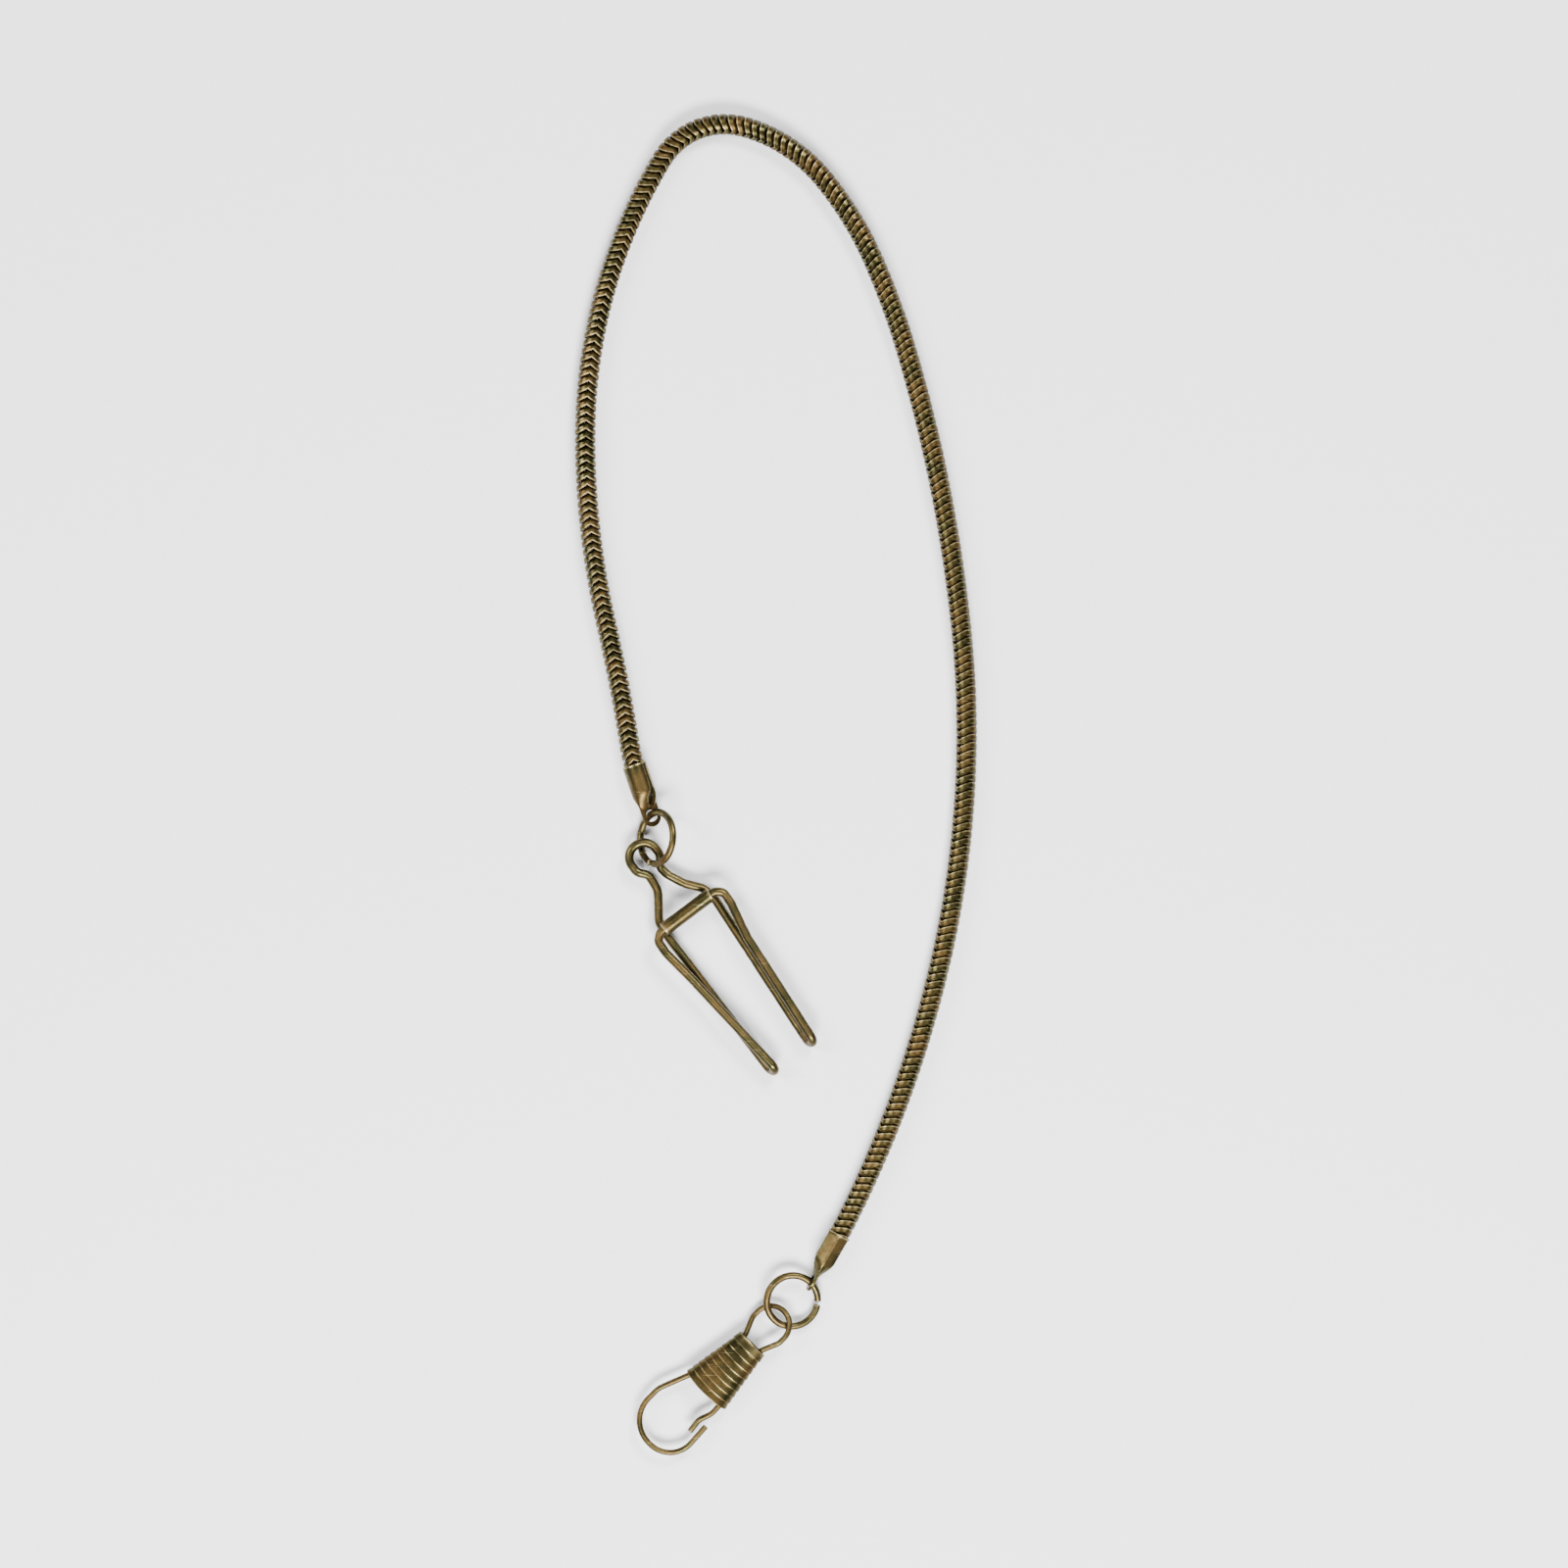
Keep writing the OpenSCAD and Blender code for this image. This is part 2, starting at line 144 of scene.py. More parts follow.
def ring_centre(ring, mouth, turn, seat):
    """The middle of a jump ring that hangs in the tongue of a cap."""
    return (tongue_point(mouth, turn) + seat[0] * heading(turn) + Vector((0, 0, seat[1]))
            + circle_point(RING_R, ring[0], ring[1], ring[2] + 180))


CLIP_RING_C = ring_centre(CLIP_RING, START, CLIP_CAP_TURN, CLIP_RING_SEAT)
CLASP_RING_C = ring_centre(CLASP_RING, END, END[2], CLASP_RING_SEAT)
# The clip: its heading, its dip, its eye, and where the eye holds the ring
CLIP_TURN, CLIP_DIP = -53, 2
EYE = Vector((-EYE_AT, -0.3, 0))
EYE_PASS, EYE_PLAY = 240, Vector((-0.35, 0.3, 0.06))
# The clasp: its heading, and its loop's roll, drop and distance from the ribbed sleeve
CLASP_TURN, LOOP_ROLL, LOOP_DROP, LOOP_AT, LOOP_SIDE = 225, 18, 0.22, 3.9, 228.2
CLIP_FRAME = Matrix.Rotation(math.radians(CLIP_TURN), 4, "Z") @ Matrix.Rotation(
    math.radians(CLIP_DIP), 4, "Y")
CLIP_AT = (CLIP_RING_C + circle_point(RING_R, CLIP_RING[0], CLIP_RING[1], EYE_PASS)
           + EYE_PLAY - CLIP_FRAME @ EYE)
CLASP_LOOP_C = (CLASP_RING_C
                + (RING_R + LOOP_D / 2 - RING_WIRE - CLASP_WIRE + 0.05) * heading(LOOP_SIDE))
CLASP_AT = (Vector((CLASP_LOOP_C.x, CLASP_LOOP_C.y, CONE_FLAT * CONE_BASE / 2))
            + LOOP_AT * heading(CLASP_TURN))
CLIP_PLACE = Matrix.Translation(CLIP_AT) @ CLIP_FRAME
CLASP_PLACE = Matrix.Translation(CLASP_AT) @ Matrix.Rotation(math.radians(CLASP_TURN), 4, "Z")


# ---- settings ----
class WatchChainFinish(bpy.types.PropertyGroup):
    """Colours and surface of the antique brass."""

    body: FloatVectorProperty(
        name="Brass", description="Colour of the aged brass", subtype="COLOR",
        default=(0.090, 0.070, 0.027), min=0, max=1)
    # Bright scuffed colour: real wear in the scratches and on the rims, and also a painted highlight
    # on the rims.
    worn_and_highlight: FloatVectorProperty(
        name="Worn brass", description="Colour where the patina is rubbed off", subtype="COLOR",
        default=(0.42, 0.335, 0.16), min=0, max=1)
    # Dark colour: real tarnish in the specks and hollows, and also the painted shade in the gaps and
    # on faces turned sideways or down.
    patina_and_shade: FloatVectorProperty(
        name="Patina", description="Colour of the dark patina in the hollows", subtype="COLOR",
        default=(0.012, 0.009, 0.005), min=0, max=1)
    roughness: FloatProperty(
        name="Roughness", description="Mean roughness of the brass", default=0.33, min=0.05, max=1,
        subtype="FACTOR")
    grain: FloatProperty(
        name="Grain", description="Height of the fine surface grain", default=0.00003, min=0,
        max=0.0005, unit="LENGTH", precision=6)


class WatchChainDetail(bpy.types.PropertyGroup):
    """How finely the pieces are meshed."""

    link_sides: IntProperty(
        name="Link sides", description="Sides round one chain link", default=16, min=8, max=32)
    wire_sides: IntProperty(
        name="Wire sides", description="Sides round a bent wire", default=24, min=8, max=48)
    cap_sides: IntProperty(
        name="Cap sides", description="Sides round an end cap", default=64, min=24, max=128)
    cone_sides: IntProperty(
        name="Sleeve sides", description="Sides round the ribbed sleeve", default=96, min=24,
        max=160)


class WatchChainStage(bpy.types.PropertyGroup):
    """Floor, lights and camera."""

    floor: FloatVectorProperty(
        name="Floor", description="Colour of the floor", subtype="COLOR",
        default=(0.93, 0.93, 0.93), min=0, max=1)
    key: FloatProperty(
        name="Key light", description="Power of the main light", default=18.0, min=0, unit="POWER")
    view: FloatProperty(
        name="View", description="Width of floor that the camera sees", default=0.240, min=0.05,
        max=1, unit="LENGTH")


# ---- finishes ----
# Each finish: a gain on the brass colour that paints some pieces darker or lighter to offset how the
# lamps light them, and how bright its scuffed rims are, partly a painted highlight
FINISHES = {"clip_brass": (1.05, 1.0), "ring_brass": (0.95, 0.9), "cap_brass": (1.0, 0.9),
            "chain_brass": (1.0, 1.0), "clasp_brass": (0.9, 0.9), "sleeve_brass": (0.9, 0.9)}


def brass(name):
    """Aged brass: dark tarnish and painted shade in the hollows, scuffed edges with painted
    highlight, blotches, specks and a fine scratched grain.

    A per-vertex value of a piece runs from 0, dark tarnish and painted shade in its hollows and on
    faces turned sideways or down, to 1, bright scuffed brass and painted highlight on its rims.
    """
    if name in bpy.data.materials:
        return bpy.data.materials[name]
    finish = bpy.context.scene.watch_chain_finish
    body_gain, wear_and_highlight = FINISHES[name]
    mat = bpy.data.materials.new(name)
    mat.use_nodes = True
    nodes, links = mat.node_tree.nodes, mat.node_tree.links
    shader = nodes["Principled BSDF"]
    shader.inputs["Metallic"].default_value = 1.0
    where = nodes.new("ShaderNodeTexCoord")

    def texture(size, detail, stretch=None):
        made = nodes.new("ShaderNodeTexNoise")
        made.inputs["Scale"].default_value = size
        made.inputs["Detail"].default_value = detail
        made.inputs["Roughness"].default_value = 0.6
        source = where.outputs["Object"]
        if stretch:
            turned = nodes.new("ShaderNodeMapping")
            turned.inputs["Rotation"].default_value = (0, 0, stretch[0])
            turned.inputs["Scale"].default_value = stretch[1:]
            links.new(source, turned.inputs["Vector"])
            source = turned.outputs["Vector"]
        links.new(source, made.inputs["Vector"])
        return made.outputs["Fac"]

    def remap(value, low, high, to_low, to_high):
        made = nodes.new("ShaderNodeMapRange")
        made.interpolation_type = "SMOOTHSTEP"
        made.inputs["From Min"].default_value = low
        made.inputs["From Max"].default_value = high
        made.inputs["To Min"].default_value = to_low
        made.inputs["To Max"].default_value = to_high
        links.new(value, made.inputs["Value"])
        return made.outputs["Result"]

    def maths(kind, a, b):
        made = nodes.new("ShaderNodeMath")
        made.operation = kind
        made.use_clamp = True
        for socket, value in zip(made.inputs, (a, b)):
            if isinstance(value, float):
                socket.default_value = value
            else:
                links.new(value, socket)
        return made.outputs["Value"]

    def blend(factor, a, b):
        made = nodes.new("ShaderNodeMix")
        made.data_type = "RGBA"
        links.new(factor, made.inputs["Factor"])
        for socket, value in ((made.inputs[6], a), (made.inputs[7], b)):
            if isinstance(value, tuple):
                socket.default_value = value
            else:
                links.new(value, socket)
        return made.outputs[2]

    edge = nodes.new("ShaderNodeAttribute")
    edge.attribute_name = "edge"
    edge = edge.outputs["Fac"]
    blotch, specks = texture(260, 5), texture(1500, 3)
    scratch = texture(900, 2, (0.7, 0.25, 4.0, 1.0))
    body = tuple(c * body_gain for c in finish.body) + (1,)
    green = (body[0] * 0.80, body[1] * 0.95, body[2] * 0.85, 1)
    copper = (body[0] * 1.25, body[1] * 0.98, body[2] * 0.78, 1)
    colour = blend(remap(blotch, 0.35, 0.65, 0.0, 1.0), green, copper)
    colour = blend(remap(specks, 0.30, 0.62, 0.0, 0.45), colour, tuple(finish.patina_and_shade) + (1,))
    # Bright scuffed brass on the rims, partly real wear and partly a painted highlight.
    rubbed_and_highlight = maths("MULTIPLY", remap(edge, 0.55, 1.0, 0.0, 1.0),
                   remap(specks, 0.30, 0.55, 0.35, wear_and_highlight))
    colour = blend(maths("ADD", rubbed_and_highlight, remap(scratch, 0.62, 0.74, 0.0, 0.35)), colour,
                   tuple(finish.worn_and_highlight) + (1,))
    # Painted shade: low per-vertex values, in the hollows, the gaps between links and on faces
    # turned sideways or down, go to the dark tarnish colour, which is partly real tarnish in the
    # hollows.
    colour = blend(remap(edge, 0.02, 0.42, 0.97, 0.0), colour, tuple(finish.patina_and_shade) + (1,))
    links.new(colour, shader.inputs["Base Color"])
    low = finish.roughness
    links.new(remap(maths("ADD", blotch, maths("MULTIPLY", specks, 0.4)), 0.3, 1.0, low - 0.10,
                    low + 0.16), shader.inputs["Roughness"])
    bump = nodes.new("ShaderNodeBump")
    bump.inputs["Strength"].default_value = 0.7
    bump.inputs["Distance"].default_value = finish.grain
    links.new(maths("ADD", maths("MULTIPLY", specks, 0.6), maths("MULTIPLY", scratch, 0.4)),
              bump.inputs["Height"])
    links.new(bump.outputs["Normal"], shader.inputs["Normal"])
    return mat


# ---- making pieces ----
def ease(x, low, high):
    """0 below the low value, 1 above the high one, and a smooth step between."""
    t = min(1.0, max(0.0, (x - low) / (high - low)))
    return t * t * (3 - 2 * t)


def edge_layer(bm):
    """The layer that holds how scuffed each vertex is, and how much painted shade or painted
    highlight it takes.
    """
    return bm.verts.layers.float.get("edge") or bm.verts.layers.float.new("edge")


def finished(bm, name, mat, place=None, smooth=40, shade=0.75):
    """The mesh as a piece in its place, in metres, with its finish.

    Painted shade: where a piece faces sideways or down, its per-vertex value falls by the shade,
    which darkens those faces towards the dark tarnish colour.
    """
    if place:
        bmesh.ops.transform(bm, matrix=place, verts=bm.verts)
    bm.normal_update()
    layer = edge_layer(bm)
    # Painted shade on the faces turned sideways or down.
    for v in bm.verts:
        v[layer] *= 1 - shade * min(1.0, max(0.0, (0.72 - v.normal.z) / 0.6))
    bmesh.ops.transform(bm, matrix=Matrix.Scale(MM, 4), verts=bm.verts)
    mesh = bpy.data.meshes.new(name)
    bm.to_mesh(mesh)
    bm.free()
    mesh.shade_smooth()
    mesh.set_sharp_from_angle(angle=math.radians(smooth))
    obj = bpy.data.objects.new(name, mesh)
    bpy.context.scene.collection.objects.link(obj)
    mesh.materials.append(mat)
    return obj


def lies_in(obj, *nodes):
    """Stop the script if a piece leaves the box of the solids that it is made over."""
    low, high = (Vector(pick(c[axis] for c in corners) for axis in range(3))
                 for pick, corners in zip((min, max), zip(*(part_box(node) for node in nodes))))
    for v in obj.data.vertices:
        if any(not low[axis] - STRAY <= v.co[axis] <= high[axis] + STRAY for axis in range(3)):
            raise RuntimeError(f"{obj.name} doesn't lie on {', '.join(nodes)}")


def stands_for(obj, *nodes):
    """The piece takes the place of these nodes, whose box it has to fit."""
    lies_in(obj, *nodes)
    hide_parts(*nodes)


def bend(points, i, step=6):
    """The rounded corner at point i of a route, as points along the wire's middle."""
    p, r = points[i]
    u, w = (p - points[i - 1][0]).normalized(), (points[i + 1][0] - p).normalized()
    turn = u.angle(w)
    m = (w - u.dot(w) * u).normalized()
    centre = p - r * math.tan(turn / 2) * u + r * m
    steps = max(2, math.ceil(math.degrees(turn) / step))
    return [centre + r * (math.sin(turn * j / steps) * u - math.cos(turn * j / steps) * m)
            for j in range(steps + 1)]


def route(points):
    """Points along a wire whose corners are [position, radius of the bend]."""
    points = [(Vector(p), r) for p, r in points]
    out = [points[0][0]]
    for i in range(1, len(points) - 1):
        out += bend(points, i)
    out.append(points[-1][0])
    kept = [out[0]]
    for p in out[1:]:
        gap = (p - kept[-1]).length
        if gap < 0.05:
            continue
        pieces = math.ceil(gap / 0.8)
        start = kept[-1]
        kept += [start.lerp(p, k / pieces) for k in range(1, pieces + 1)]
    return kept


def ring_edges(ring):
    """The edges that run round a ring of vertices."""
    members = set(ring)
    return list({e for v in ring for e in v.link_edges if e.other_vert(v) in members})


def bridge_rings(bm, rings):
    """Skin between each ring and the next."""
    loops = [ring_edges(ring) for ring in rings]
    for a, b in zip(loops, loops[1:]):
        bmesh.ops.bridge_loops(bm, edges=a + b)


def wire(middle, diameter, nicks, seed):
    """A round wire along its middle points, with rounded cut ends and slight dents."""
    sides = bpy.context.scene.watch_chain_detail.wire_sides
    bm = bmesh.new()
    layer = edge_layer(bm)
    count = len(middle)
    along = [(middle[min(i + 1, count - 1)] - middle[max(i - 1, 0)]).normalized()
             for i in range(count)]
    side = along[0].cross(Vector((0.3, 0.5, 0.8))).normalized()
    stations = [(middle[i], along[i], 1.0, 0.62) for i in range(count)]
    rounding = diameter * 0.12
    for end, inwards in ((0, 1), (-1, -1)):
        p, t = middle[end], along[end]
        cut = [(p, t, 0.84, 0.9), (p + t * inwards * rounding * 0.35, t, 0.95, 0.95),
               (p + t * inwards * rounding, t, 1.0, 0.7)]
        if end == 0:
            stations[:1] = cut
        else:
            stations[-1:] = cut[::-1]
    rings = []
    for p, t, share, tone in stations:
        side = (side - side.dot(t) * t).normalized()
        up = t.cross(side)
        ring = bmesh.ops.create_circle(bm, segments=sides, radius=diameter / 2 * share)["verts"]
        turned = Matrix((side, up, t)).transposed().to_4x4()
        bmesh.ops.transform(bm, matrix=Matrix.Translation(p) @ turned, verts=ring)
        for v in ring:
            v[layer] = tone
            out = (v.co - p).normalized()
            dent = noise.noise(v.co * 0.8 + Vector((seed, 0, 0))) - 0.1
            v.co -= out * nicks * max(0.0, dent)
        rings.append(ring)
    bridge_rings(bm, rings)
    for ring in (rings[0], rings[-1]):
        bmesh.ops.contextual_create(bm, geom=ring_edges(ring))
    bmesh.ops.recalc_face_normals(bm, faces=bm.faces)
    return bm


def spun(profile, sides, axis=(1, 0, 0)):
    """A closed outline of (along, out, tone), spun a full turn about the axis."""
    bm = bmesh.new()
    layer = edge_layer(bm)
    verts = []
    for x, r, tone in profile:
        v = bm.verts.new((x, 0, r))
        v[layer] = tone
        verts.append(v)
    edges = [bm.edges.new(pair) for pair in zip(verts, verts[1:] + verts[:1])]
    bmesh.ops.spin(bm, geom=verts + edges, axis=axis, cent=(0, 0, 0), angle=2 * math.pi,
                   steps=sides, use_merge=True)
    bmesh.ops.recalc_face_normals(bm, faces=bm.faces)
    return bm


# ---- belt clip ----
def back_tip(side):
    """Where a back leg ends."""
    return Vector((CLIP_LEG, side * CLIP_TIPS / 2 - CLIP_SKEW, 0))


def front_tip(side):
    """Where a front leg ends."""
    return Vector((CLIP_LEG, side * CLIP_TIPS / 2, CLIP_RISE))


def tip_turn(side):
    """The corners of the turn at one tip, from the back leg to the front leg."""
    back, front = back_tip(side), front_tip(side)
    r = (front - back).length / 2
    out = Vector((r, 0, 0))
    return [(back + out, 0.88 * r), (front + out, 0.88 * r)]


def front_corners(side):
    """The corners of one front leg, from the sleeve to its tip."""
    shoulder, waist = CLIP_SHOULDER / 2, 5.6 if side < 0 else 5.0
    return [(Vector((0, side * 0.3, SLEEVE_Z)), 0),
            (Vector((0, side * (SLEEVE_LEN / 2 + 0.7), SLEEVE_Z)), 1.2),
            (Vector((0.9, side * shoulder, SLEEVE_Z)), 1.2),
            (Vector((3, side * shoulder - 0.1, SLEEVE_Z + 0.08)), 3),
            (Vector((8.5, side * waist, SLEEVE_Z + (CLIP_RISE - SLEEVE_Z) * 8.5 / CLIP_LEG)), 5)]


def back_corners():
    """The corners of the back legs and the eye between them."""
    r, span = EYE_D / 2, SLEEVE_LEN / 2 + 0.1
    eye = [(1.16, -0.47, 1.2), (0.53, -1, 1.6), (-1, -1, r), (-1, 1, r), (0.53, 1, 1.6),
           (1.16, 0.47, 1.2)]
    return ([(Vector((1.3, -span - 0.1, 0)), 3), (Vector((-1.2, -span + 0.1, 0)), 3),
             (Vector((-EYE_AT / 2, -1.6, 0)), 3)]
            + [(EYE + Vector((x * r, y * r, 0)), bend_r) for x, y, bend_r in eye]
            + [(Vector((-EYE_AT * 0.6, 0.95, 0)), 3), (Vector((-EYE_AT * 0.35, 2.2, 0)), 3),
               (Vector((-1.2, span - 0.4, 0)), 3), (Vector((1.2, span - 0.1, 0)), 3)])


class WATCH_CHAIN_OT_clip_wire(bpy.types.Operator):
    """Bend the belt clip's spring wire: eye, back legs, tips and front legs"""

    bl_idname = "watch_chain.clip_wire"
    bl_label = "Belt Clip Wire"

    def execute(self, context):
        mat = brass("clip_brass")
        corners = (front_corners(-1) + tip_turn(-1)[::-1] + back_corners() + tip_turn(1)
                   + front_corners(1)[::-1])
        bent = finished(wire(route(corners), CLIP_WIRE, 0.10, 3.0), "belt_clip_wire", mat,
                        CLIP_PLACE)
        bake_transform(bent)
        stands_for(bent, "clip_back_legs", "clip_front_leg_left", "clip_front_leg_right")
        return {"FINISHED"}


class WATCH_CHAIN_OT_clip_sleeve(bpy.types.Operator):
    """Turn the short tube that joins the belt clip wire's two ends"""

    bl_idname = "watch_chain.clip_sleeve"
    bl_label = "Belt Clip Sleeve"

    def execute(self, context):
        h, r, bore, e = SLEEVE_LEN / 2, SLEEVE_D / 2, CLIP_WIRE / 2 + CRIMP, 0.12
        # Tones: bright scuffed brass on the tube's ends, and 0 in the bore, which is painted shade
        # inside the tube with some real tarnish.
        profile = [(-h, bore + 0.06, 0.5), (-h, r - e, 1.0), (-h + e * 0.4, r - e * 0.35, 1.0),
                   (-h + e, r, 0.9), (-h + 0.6, r, 0.62), (-h / 2, r, 0.6), (0, r, 0.6),
                   (h / 2, r, 0.6), (h - 0.6, r, 0.62), (h - e, r, 0.9),
                   (h - e * 0.4, r - e * 0.35, 1.0), (h, r - e, 1.0), (h, bore + 0.06, 0.5),
                   (h - 0.1, bore, 0.0), (-h + 0.1, bore, 0.0)]
        bm = spun(profile, 48)
        across = CLIP_PLACE @ Matrix.Translation((0, 0, SLEEVE_Z)) @ Matrix.Rotation(
            math.pi / 2, 4, "Z")
        tube = finished(bm, "clip_sleeve_tube", brass("clip_brass"), across, 30)
        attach(tube, "belt_clip_front")
        stands_for(tube, "clip_sleeve")
        return {"FINISHED"}


class WATCH_CHAIN_OT_jump_rings(bpy.types.Operator):
    """Bend the two jump rings, each with its cut"""

    bl_idname = "watch_chain.jump_rings"
    bl_label = "Jump Rings"

    def execute(self, context):
        mat = brass("ring_brass")
        half = math.degrees(math.asin(RING_CUT / (2 * RING_R)))
        steps = 90
        for end, centre, (turn, tilt, _), cut in (
                ("clip", CLIP_RING_C, CLIP_RING, CLIP_RING_CUT_AT),
                ("clasp", CLASP_RING_C, CLASP_RING, CLASP_RING_CUT_AT)):
            arc = [centre + circle_point(RING_R, turn, tilt,
                                         cut + half + (360 - 2 * half) * k / steps)
                   for k in range(steps + 1)]
            ring = finished(wire(arc, RING_WIRE, 0.05, cut), f"{end}_jump_ring", mat)
            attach(ring, f"{end}_ring")
            stands_for(ring, f"jump_ring_{end}")
        return {"FINISHED"}


# ---- end caps ----
# Each cap: roll of its tongue, seam, facets, hollow beside the seam, thickness at the tongue
CLIP_CAP, CLASP_CAP = (-32, 32, 0, 1.0, 0.28), (82, 200, 6, 0.0, 0.6)


def end_cap(roll, seam, facets, hollow, end):
    """A cap folded from sheet, with its mouth at the origin and its tongue towards +X.

    The round grip flattens to the tongue, whose faces are turned by the roll. The fold closes at
    the seam and opens to a hollow beside the tongue. Facets are the flats of the crimp, and end is
    half the thickness where the tongue begins.
    """
    sides = bpy.context.scene.watch_chain_detail.cap_sides
    bm = bmesh.new()
    layer = edge_layer(bm)
    inside, taper_end = CAP_R - 0.2, CAP_GRIP + CAP_TAPER
    # Tones: 0 and 0.3 inside the mouth, painted shade with some real tarnish; 1 on the mouth's rim,
    # bright scuffed brass and partly a painted highlight.
    stations = [(0.9, inside, inside, 0.0), (0.06, inside, inside, 0.3),
                (0.0, inside + 0.06, inside + 0.06, 1.0), (0.02, CAP_R - 0.05, CAP_R - 0.05, 1.0),
                (0.12, CAP_R, CAP_R, 0.95)]
    for step in range(1, 29):
        x = 0.12 + (taper_end + 0.4 - 0.12) * step / 28
        wide = CAP_R - 0.37 * ease(x, CAP_GRIP, taper_end + 0.6)
        flat = min(1.0, max(0.0, (x - CAP_GRIP + 0.3) / (CAP_TAPER + 0.7)))
        thick = CAP_R - (CAP_R - end) * (0.5 * flat + 0.5 * flat * flat * (3 - 2 * flat))
        stations.append((x, wide, thick, 0.62))
    turned = math.radians(roll)
    rings = []
    for x, wide, thick, tone in stations:
        ring = bmesh.ops.create_circle(bm, segments=sides, radius=1.0)["verts"]
        opened = hollow * ease(x, CAP_GRIP - 1.0, CAP_GRIP + 1.0)
        fold = ease(x, 0.1, 0.5) * (1 - ease(x, taper_end - 0.5, taper_end + 0.2))
        for v in ring:
            a = math.atan2(v.co.y, v.co.x)
            y, z = wide * math.cos(a), thick * math.sin(a)
            y, z = (y * math.cos(turned) - z * math.sin(turned),
                    y * math.sin(turned) + z * math.cos(turned))
            at = math.atan2(z, y)
            out = 1.0
            if facets:
                sector = 2 * math.pi / facets
                off = (at - math.pi / 2) % sector - sector / 2
                flat = 0.9 * (1 - math.cos(sector / 2) / math.cos(off))
                out = 1 - flat * ease(x, 0.0, 0.5)
            gap = abs((at - math.radians(seam) + math.pi) % (2 * math.pi) - math.pi)
            half = 0.12 + 0.55 * opened
            cut = (1 - ease(gap, half * 0.55, half)) * fold
            out *= 1 - (0.12 + 0.36 * opened) * cut
            lip = math.exp(-((gap - half - 0.07) / 0.07) ** 2) * fold
            v.co = (x, y * out, z * out)
            # Painted shade: darker in the seam's gap; the seam's lip is lighter, scuffed brass and
            # partly a painted highlight.
            v[layer] = max(0.0, min(1.0, tone * (1 - 1.2 * cut) + 0.4 * lip))
        rings.append(ring)
    bridge_rings(bm, rings)
    bmesh.ops.contextual_create(bm, geom=ring_edges(rings[-1]))
    bmesh.ops.recalc_face_normals(bm, faces=bm.faces)

    half, inner, outer, e = TONGUE_T / 2, HOLE_R, HOLE_R + RIM, 0.09
    # Tones: near 1 on the tongue's faces and rims, bright scuffed brass; 0.5 on the walls of its
    # hole, darker, as painted shade in the hole.
    outline = [(inner + e, half, 1.0), (outer - e * 1.4, half, 1.0),
               (outer - e * 0.4, half - e * 0.4, 1), (outer, half - e * 1.4, 0.9),
               (outer, -half + e * 1.4, 0.9), (outer - e * 0.4, -half + e * 0.4, 1),
               (outer - e * 1.4, -half, 0.75), (inner + e, -half, 0.9), (inner, -half + e, 0.5),
               (inner, half - e, 0.5)]
    tongue = spun([(z, r, tone) for r, z, tone in outline], 48)
    back = 2.1
    for v in tongue.verts:
        v.co = (v.co.z, v.co.y, v.co.x)
        r = math.hypot(v.co.x, v.co.y)
        if r < (inner + outer) / 2 and v.co.x > 0:
            v.co.x *= 0.68
        elif r > (inner + outer) / 2 and v.co.x < 0:
            reach = min(back * r / -v.co.x, outer * r / max(abs(v.co.y), 1e-6)) / outer
            v.co.x, v.co.y = v.co.x * reach, v.co.y * reach
    bmesh.ops.recalc_face_normals(tongue, faces=tongue.faces)
    bmesh.ops.transform(tongue, verts=tongue.verts, matrix=Matrix.Translation(
        (TONGUE_AT, 0, 0)) @ Matrix.Rotation(turned, 4, "X"))
    plate = bpy.data.meshes.new("tongue")
    tongue.to_mesh(plate)
    tongue.free()
    bm.from_mesh(plate)
    bpy.data.meshes.remove(plate)
    return bm


class WATCH_CHAIN_OT_end_caps(bpy.types.Operator):
    """Fold the two end caps round the ends of the chain"""

    bl_idname = "watch_chain.end_caps"
    bl_label = "End Caps"

    def execute(self, context):
        mat = brass("cap_brass")
        for at, mouth, turn, shape, run in (
                ("clip", START, CLIP_CAP_TURN, CLIP_CAP, 1),
                ("clasp", END, END[2], CLASP_CAP, RUNS)):
            place = Matrix.Translation((mouth[0], mouth[1], CAP_R)) @ Matrix.Rotation(
                math.radians(turn), 4, "Z")
            cap = finished(end_cap(*shape), f"{at}_end_cap", mat, place, 35, 0.5)
            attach(cap, f"chain_{run:02d}")
            stands_for(cap, f"end_cap_{at}")
        return {"FINISHED"}


# ---- chain ----
def link_mesh():
    """One link with its axis on X and its chevrons facing +Z and -Z."""
    sides = bpy.context.scene.watch_chain_detail.link_sides
    h, e, wall = LINK_LEN / 2, 0.14, 0.10
    # Tones: 0 on the end faces and bore, painted shade in the gaps between links with some real
    # tarnish; the rim at -h near 1, bright scuffed brass and partly a painted highlight; the rim at
    # +h darker.
    outline = [(-h, BORE_R + 0.28, 0.0), (-h, CHAIN_R - wall, 0.72), (-h + e, CHAIN_R, 0.98),
               (-h + 1.9 * e, CHAIN_R, 0.62), (h - e, CHAIN_R, 0.56), (h, CHAIN_R - wall, 0.36),
               (h + 0.34, BORE_R + 0.16, 0.0)]
    bm = spun(outline, sides)
    for v in bm.verts:
        y = v.co.y / math.hypot(v.co.y, v.co.z) * CHAIN_R
        shift = DIP / 2 - DIP * abs(y) / CHAIN_R
        if v.co.x > 0:
            shift = min(shift, DIP / 2 - BLUNT)
        v.co.x += shift
    return bm


